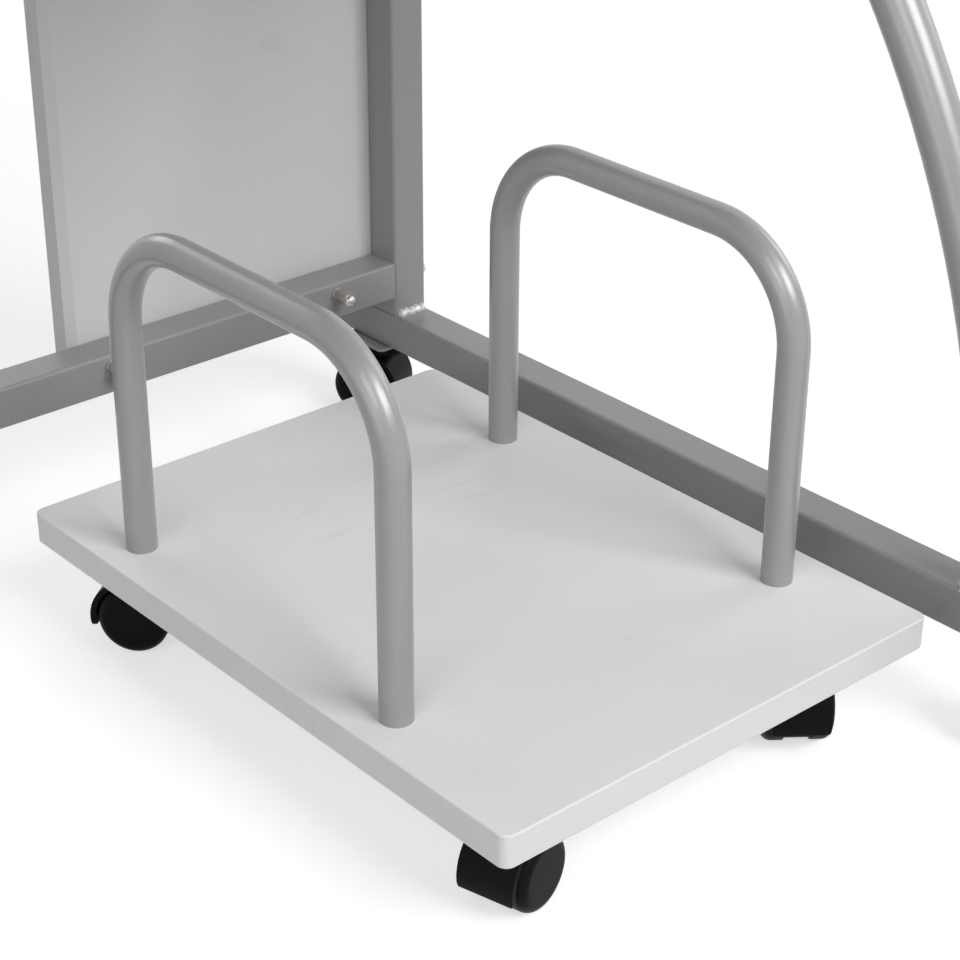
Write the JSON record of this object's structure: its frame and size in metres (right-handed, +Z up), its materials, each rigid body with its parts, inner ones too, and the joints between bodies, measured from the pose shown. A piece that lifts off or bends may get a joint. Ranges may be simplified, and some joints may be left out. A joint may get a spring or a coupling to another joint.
{
  "type": "computer desk",
  "caption": "Wheeled desk on a silver tube frame with curved front legs, a sliding keyboard tray, a back panel and a rolling computer trolley with two hoops.",
  "frame": {"origin": "on the floor under the middle of the desktop", "axes": "+X along the desk's width to the sitter's right, +Y to the back, +Z up"},
  "size_m": [0.9, 0.6, 0.75],
  "materials": {
    "white_board": "white coated fibreboard, smooth satin",
    "silver_tube": "silver-grey powder coat, satin with fine metallic flake",
    "zinc_steel": "bright zinc plate",
    "black_plastic": "moulded nylon, low satin",
    "grey_plastic": "moulded polythene, matt"
  },
  "bodies": {
    "desk": {"desktop": "white_board", "back_panel": "white_board", "right_bottom_rail": "silver_tube", "left_bottom_rail": "silver_tube", "right_back_post": "silver_tube", "left_back_post": "silver_tube", "right_arch_leg": "silver_tube", "left_arch_leg": "silver_tube", "right_top_rail": "silver_tube", "left_top_rail": "silver_tube", "lower_cross_rail": "silver_tube", "upper_cross_rail": "silver_tube", "tube_end_plugs": "grey_plastic", "weld_beads": "silver_tube", "cross_rail_bolts": "zinc_steel", "cross_rail_inserts": "zinc_steel", "panel_bolts": "zinc_steel", "panel_washers": "zinc_steel", "panel_nuts": "zinc_steel", "panel_cap_nuts": "zinc_steel", "desktop_screws": "zinc_steel", "desk_caster_plates": "zinc_steel", "tray_hangers": "silver_tube", "hanger_screws": "zinc_steel", "tray_outer_runners": "zinc_steel", "tray_runner_balls": "zinc_steel"},
    "keyboard_tray": {"keyboard_tray": "white_board", "tray_inner_runners": "zinc_steel", "tray_screws": "zinc_steel"},
    "trolley": {"trolley_board": "white_board", "left_hoop": "silver_tube", "right_hoop": "silver_tube", "hoop_inserts": "zinc_steel", "hoop_screws": "zinc_steel", "trolley_caster_plates": "zinc_steel", "trolley_caster_screws": "zinc_steel"},
    "desk_front_left_swivel": {"desk_front_left_hood": "black_plastic"},
    "desk_front_left_wheel_pair": {"desk_front_left_wheels": "black_plastic", "desk_front_left_axle": "zinc_steel"},
    "desk_front_right_swivel": {"desk_front_right_hood": "black_plastic"},
    "desk_front_right_wheel_pair": {"desk_front_right_wheels": "black_plastic", "desk_front_right_axle": "zinc_steel"},
    "desk_back_left_swivel": {"desk_back_left_hood": "black_plastic"},
    "desk_back_left_wheel_pair": {"desk_back_left_wheels": "black_plastic", "desk_back_left_axle": "zinc_steel"},
    "desk_back_right_swivel": {"desk_back_right_hood": "black_plastic"},
    "desk_back_right_wheel_pair": {"desk_back_right_wheels": "black_plastic", "desk_back_right_axle": "zinc_steel"},
    "trolley_front_left_swivel": {"trolley_front_left_hood": "black_plastic"},
    "trolley_front_left_wheel_pair": {"trolley_front_left_wheels": "black_plastic", "trolley_front_left_axle": "zinc_steel"},
    "trolley_front_right_swivel": {"trolley_front_right_hood": "black_plastic"},
    "trolley_front_right_wheel_pair": {"trolley_front_right_wheels": "black_plastic", "trolley_front_right_axle": "zinc_steel"},
    "trolley_back_left_swivel": {"trolley_back_left_hood": "black_plastic"},
    "trolley_back_left_wheel_pair": {"trolley_back_left_wheels": "black_plastic", "trolley_back_left_axle": "zinc_steel"},
    "trolley_back_right_swivel": {"trolley_back_right_hood": "black_plastic"},
    "trolley_back_right_wheel_pair": {"trolley_back_right_wheels": "black_plastic", "trolley_back_right_axle": "zinc_steel"}
  },
  "joints": [
    {"name": "keyboard_tray_slide", "type": "slide", "parent": "desk", "child": "keyboard_tray", "axis": [0, -1, 0], "range_m": [0, 0.24]},
    {"name": "trolley_roll", "type": "slide", "parent": "desk", "child": "trolley", "axis": [0, -1, 0], "range_m": [0, 0.55]},
    {"name": "desk_front_left_swivel", "type": "hinge", "parent": "desk", "child": "desk_front_left_swivel", "pos_m": [-0.4125, -0.277, 0.04], "axis": [0, 0, 1], "continuous": true},
    {"name": "desk_front_left_roll", "type": "hinge", "parent": "desk_front_left_swivel", "child": "desk_front_left_wheel_pair", "pos_m": [-0.41059, -0.26617, 0.02], "axis": [0.9848, -0.1736, 0], "continuous": true},
    {"name": "desk_front_right_swivel", "type": "hinge", "parent": "desk", "child": "desk_front_right_swivel", "pos_m": [0.4125, -0.277, 0.04], "axis": [0, 0, 1], "continuous": true},
    {"name": "desk_front_right_roll", "type": "hinge", "parent": "desk_front_right_swivel", "child": "desk_front_right_wheel_pair", "pos_m": [0.40984, -0.26633, 0.02], "axis": [0.9703, 0.2419, 0], "continuous": true},
    {"name": "desk_back_left_swivel", "type": "hinge", "parent": "desk", "child": "desk_back_left_swivel", "pos_m": [-0.4125, 0.2545, 0.04], "axis": [0, 0, 1], "continuous": true},
    {"name": "desk_back_left_roll", "type": "hinge", "parent": "desk_back_left_swivel", "child": "desk_back_left_wheel_pair", "pos_m": [-0.41097, 0.24361, 0.02], "axis": [-0.9903, -0.1392, 0], "continuous": true},
    {"name": "desk_back_right_swivel", "type": "hinge", "parent": "desk", "child": "desk_back_right_swivel", "pos_m": [0.4125, 0.2545, 0.04], "axis": [0, 0, 1], "continuous": true},
    {"name": "desk_back_right_roll", "type": "hinge", "parent": "desk_back_right_swivel", "child": "desk_back_right_wheel_pair", "pos_m": [0.40683, 0.26393, 0.02], "axis": [0.8572, 0.515, 0], "continuous": true},
    {"name": "trolley_front_left_swivel", "type": "hinge", "parent": "trolley", "child": "trolley_front_left_swivel", "pos_m": [0.1175, -0.196, 0.04], "axis": [0, 0, 1], "continuous": true},
    {"name": "trolley_front_left_roll", "type": "hinge", "parent": "trolley_front_left_swivel", "child": "trolley_front_left_wheel_pair", "pos_m": [0.12813, -0.19315, 0.02], "axis": [0.2588, -0.9659, 0], "continuous": true},
    {"name": "trolley_front_right_swivel", "type": "hinge", "parent": "trolley", "child": "trolley_front_right_swivel", "pos_m": [0.322, -0.196, 0.04], "axis": [0, 0, 1], "continuous": true},
    {"name": "trolley_front_right_roll", "type": "hinge", "parent": "trolley_front_right_swivel", "child": "trolley_front_right_wheel_pair", "pos_m": [0.32877, -0.18733, 0.02], "axis": [0.788, -0.6157, 0], "continuous": true},
    {"name": "trolley_back_left_swivel", "type": "hinge", "parent": "trolley", "child": "trolley_back_left_swivel", "pos_m": [0.1175, 0.1215, 0.04], "axis": [0, 0, 1], "continuous": true},
    {"name": "trolley_back_left_roll", "type": "hinge", "parent": "trolley_back_left_swivel", "child": "trolley_back_left_wheel_pair", "pos_m": [0.12427, 0.11283, 0.02], "axis": [-0.788, -0.6157, 0], "continuous": true},
    {"name": "trolley_back_right_swivel", "type": "hinge", "parent": "trolley", "child": "trolley_back_right_swivel", "pos_m": [0.322, 0.1215, 0.04], "axis": [0, 0, 1], "continuous": true},
    {"name": "trolley_back_right_roll", "type": "hinge", "parent": "trolley_back_right_swivel", "child": "trolley_back_right_wheel_pair", "pos_m": [0.31915, 0.11087, 0.02], "axis": [-0.9659, 0.2588, 0], "continuous": true}
  ]
}
